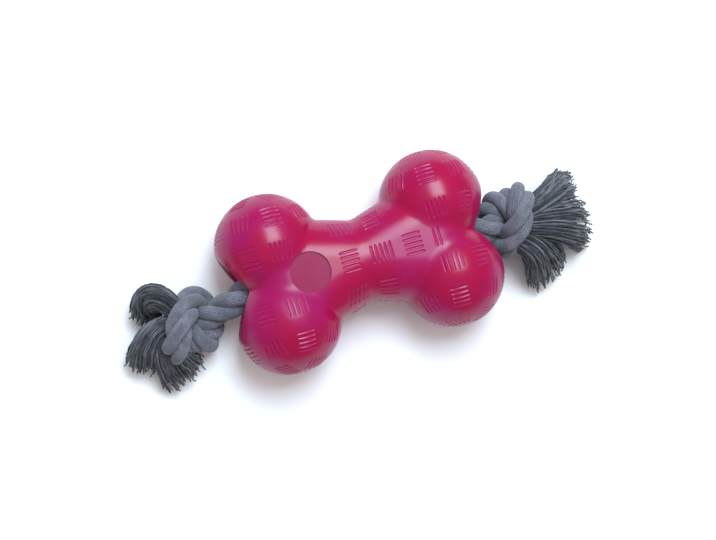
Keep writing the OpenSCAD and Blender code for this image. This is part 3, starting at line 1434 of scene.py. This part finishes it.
@dataclass(frozen=True)
class RubberFinish:
    """Raspberry rubber: satin, and clear enough for light to glow through its edges, a glow that is partly painted;
    the grooves' paler colour is painted light and the pad's darker colour painted shade.
    """

    crimson: Triple = (0.36, 0.002, 0.05)
    magenta: Triple = (0.33, 0.004, 0.1)
    # Painted edge glow: the paler mauve that the rubber takes at grazing angles.
    rim: Triple = (0.32, 0.005, 0.085)
    # Painted light: the grooves' paler, bluer colour stands in for the light that glints and shines through in them.
    groove: Triple = (0.36, 0.005, 0.09)
    # Painted shade: the pad is darker to tone down the light that its flat face reflects.
    pad: Triple = (0.27, 0.004, 0.06)
    grain_scale: float = 900.0
    mottle_scale: float = 26.0
    rim_power: float = 2.2
    groove_share: float = 0.6
    satin: tuple[float, float] = (0.22, 0.34)
    pad_dulling: float = 0.28

    def material(self, unevenness: Group) -> bpy.types.Material:
        """Build the rubber's material.

        Args:
            unevenness: The shared group of fine unevenness.

        Returns:
            The material.
        """
        paint = Paint("raspberry_rubber")
        tree = paint.tree
        place = paint.place()
        grain, mottle = paint.relief(unevenness, place, self.grain_scale, self.mottle_scale)
        core = paint.blend(paint.spread(mottle, 0.38, 0.62, 0.0, 1.0), self.crimson, self.magenta)
        # Painted edge glow: towards grazing angles the colour turns to a paler mauve, standing in for the light that
        # the edges reflect and let through.
        facing = tree.take("ShaderNodeLayerWeight", {"Blend": 0.5}, out="Facing")
        edge = tree.math("POWER", facing, self.rim_power)
        skin = paint.blend(edge, core, self.rim)
        groove, pad = paint.mark("groove"), paint.mark("pad")
        # Painted light: the grooves take a paler colour that offsets their shade and stands in for the glints in
        # them.
        skin = paint.blend(groove * self.groove_share, skin, self.groove)
        satin = paint.spread(mottle, 0.3, 0.7, *self.satin)
        # The pad's darker colour is painted shade.
        paint.set(
            Base_Color=paint.blend(pad, skin, self.pad),
            Roughness=satin + pad * self.pad_dulling,
            Specular_IOR_Level=0.34,
            Subsurface_Weight=0.25,
            Subsurface_Radius=(1.0, 0.25, 0.4),
            Subsurface_Scale=0.002,
            Normal=paint.bump(grain, 0.00004, 0.5),
        )
        return paint.material


@dataclass(frozen=True)
class CottonFinish:
    """Grey-blue cotton, laid into strands or loose: pale and faded on its yarns, with painted shade that darkens it
    between the laid yarns and on the darkest loose yarns.
    """

    name: str
    # Painted shade: the colour in the valleys between the laid yarns and on the darkest loose yarns.
    dark: Triple
    light: Triple
    faded: Triple
    laid: bool
    grain_scale: float = 1500.0
    mottle_scale: float = 160.0
    wash_scale: float = 70.0
    yarns_around: float = 13.0
    twist: float = 900.0
    wander: float = 3.2
    ridge_power: float = 0.6
    yarn_power: float = 2.2

    def material(self, unevenness: Group) -> bpy.types.Material:
        """Build the cotton's material.

        Args:
            unevenness: The shared group of fine unevenness.

        Returns:
            The material.
        """
        paint = Paint(self.name)
        tree = paint.tree
        place = paint.place()
        grain, mottle = paint.relief(unevenness, place, self.grain_scale, self.mottle_scale)
        if self.laid:
            x, y, _ = paint.mark("round", "Vector").parts()
            turn = tree.math("ARCTAN2", y, x)
            wander = (mottle - 0.5) * self.wander
            ridge = tree.math("SINE", turn * self.yarns_around + paint.mark("run") * self.twist + wander)
            yarn = tree.math("POWER", tree.math("ABSOLUTE", ridge), self.ridge_power)
            height = yarn * 0.75 + (grain - 0.5) * 1.8
            # Painted shade: the tone follows the yarns' ridges, so the colour darkens in the valleys between them.
            tone = paint.spread(height, -0.2, 1.0, 0.0, 1.0)
        else:
            height = grain
            # Painted shade: the tone differs from yarn to yarn, and the darkest yarns are painted nearly black, like
            # yarns in shade deep in the tuft.
            tone = tree.lowest(tree.math("POWER", paint.mark("yarn"), self.yarn_power) * 0.9 + grain * 0.35, 1.0)
        shade = tone * paint.spread(mottle, 0.3, 0.7, 0.6, 1.2)
        wash = tree.take("ShaderNodeTexNoise", {"Vector": place, "Scale": self.wash_scale, "Detail": 2.0})
        bright = paint.blend(paint.spread(wash, 0.4, 0.6, 0.0, 1.0), self.light, self.faded)
        paint.set(
            Base_Color=paint.blend(shade, self.dark, bright),
            Roughness=0.92,
            Specular_IOR_Level=0.25,
            Sheen_Weight=0.25,
            Sheen_Roughness=0.5,
            Normal=paint.bump(height, 0.0004, 0.9),
        )
        return paint.material


@dataclass(frozen=True)
class PaperFinish:
    """Plain pale backdrop paper with a faint tooth."""

    shade: Triple = (0.915, 0.915, 0.92)
    white: Triple = (0.945, 0.945, 0.95)

    def material(self, unevenness: Group) -> bpy.types.Material:
        """Build the paper's material.

        Args:
            unevenness: The shared group of fine unevenness.

        Returns:
            The material.
        """
        paint = Paint("backdrop_paper")
        grain, mottle = paint.relief(unevenness, paint.place(), 700.0, 9.0)
        paint.set(
            Base_Color=paint.blend(mottle, self.shade, self.white),
            Roughness=0.9,
            Specular_IOR_Level=0.2,
            Normal=paint.bump(grain, 0.00003, 0.4),
        )
        return paint.material


# ---- Stage -----------------------------------------------------------------------------------


@dataclass(frozen=True)
class Viewpoint:
    """The camera: above the toy, leaning towards its left end, and turned about its own axis."""

    aim: Triple = (0.0, 0.0, 26.5 * MM)
    distance: float = 650 * MM
    lean_x_deg: float = -9.0
    lean_y_deg: float = -3.0
    roll_deg: float = 15.77
    lens: float = 65.0
    aim_px: tuple[float, float] = (360.5, 260.9)
    frame_px: tuple[int, int] = (716, 540)

    def place(self) -> bpy.types.Object:
        """Set the camera up.

        Returns:
            The camera.
        """
        data = bpy.data.cameras.new("camera")
        data.lens = self.lens
        data.clip_start = 0.01
        camera = put("camera", data)
        back = Vector(
            (math.tan(math.radians(self.lean_x_deg)), math.tan(math.radians(self.lean_y_deg)), 1.0)
        ).normalized()
        ahead = (Vector((1, 0, 0)) - back * back.x).normalized()
        level = back.cross(ahead)
        roll = math.radians(self.roll_deg)
        right = ahead * math.cos(roll) - level * math.sin(roll)
        up = ahead * math.sin(roll) + level * math.cos(roll)
        wide, high = self.frame_px
        size = 2 * self.distance * (data.sensor_width / 2) / self.lens / wide
        target = Vector(self.aim)
        target -= right * (self.aim_px[0] - wide / 2) * size
        target += up * (self.aim_px[1] - high / 2) * size
        turn = Matrix((right, up, back)).transposed().to_4x4()
        camera.matrix_world = Matrix.Translation(target + back * self.distance) @ turn
        bpy.context.scene.camera = camera
        return camera


@dataclass(frozen=True)
class Studio:
    """A pale floor under broad soft light."""

    floor_half: float = 3.0
    room_glow: float = 0.3

    def build(self, paper: bpy.types.Material) -> None:
        """Make the floor, the lights and the surroundings.

        Args:
            paper: The floor's material.
        """
        mesh = bpy.data.meshes.new("floor")
        h = self.floor_half
        mesh.from_pydata([(-h, -h, 0), (h, -h, 0), (h, h, 0), (-h, h, 0)], [], [(0, 1, 2, 3)])
        mesh.materials.append(paper)
        put("floor", mesh)
        world = bpy.data.worlds.new("soft_room")
        world.use_nodes = True
        room = world.node_tree.nodes["Background"]
        room.inputs["Color"].default_value = (1, 1, 1, 1)
        room.inputs["Strength"].default_value = self.room_glow
        bpy.context.scene.world = world
        self._panel("key_panel", (0.22, 0.46, 1.1), (0.5, 0.76), 14.0, (0.7, 0.86, 1.0))
        self._panel("wide_panel", (0.2, 0.3, 1.4), (2.4, 2.4), 0.85, (1.0, 0.95, 0.94), mirrored=False)

    @staticmethod
    def _panel(
        name: str,
        place: Triple,
        size: tuple[float, float],
        glow: float,
        colour: Triple,
        mirrored: bool = True,
    ) -> None:
        """Hang one level light panel over the toy.

        Args:
            name: Its name.
            place: Its middle.
            size: Its width and depth.
            glow: How bright its face is.
            colour: The light's colour.
            mirrored: Whether it shows in glossy surfaces.
        """
        data = bpy.data.lights.new(name, "AREA")
        data.shape = "RECTANGLE"
        data.size, data.size_y = size
        data.energy = glow * math.pi * size[0] * size[1]
        data.color = colour
        lamp = put(name, data)
        lamp.location = place
        lamp.visible_glossy = mirrored


def main() -> None:
    """Build the toy's pieces in order."""
    logging.basicConfig(level=logging.INFO, format="%(name)s %(message)s")
    bpy.context.scene.view_settings.view_transform = "Standard"
    Viewpoint().place()
    unevenness = relief_group()
    Studio().build(PaperFinish().material(unevenness))
    laid = CottonFinish(
        "laid_cotton",
        dark=(0.04, 0.042, 0.056),
        light=(0.245, 0.238, 0.31),
        faded=(0.205, 0.216, 0.258),
        laid=True,
    )
    loose = CottonFinish(
        "loose_cotton",
        dark=(0.005, 0.006, 0.009),
        light=(0.165, 0.162, 0.205),
        faded=(0.125, 0.135, 0.15),
        laid=False,
    )
    Rope().build(laid.material(unevenness))
    Tassels().build(loose.material(unevenness))
    MouldedBone().build(RubberFinish().material(unevenness))


if __name__ == "__main__":
    main()
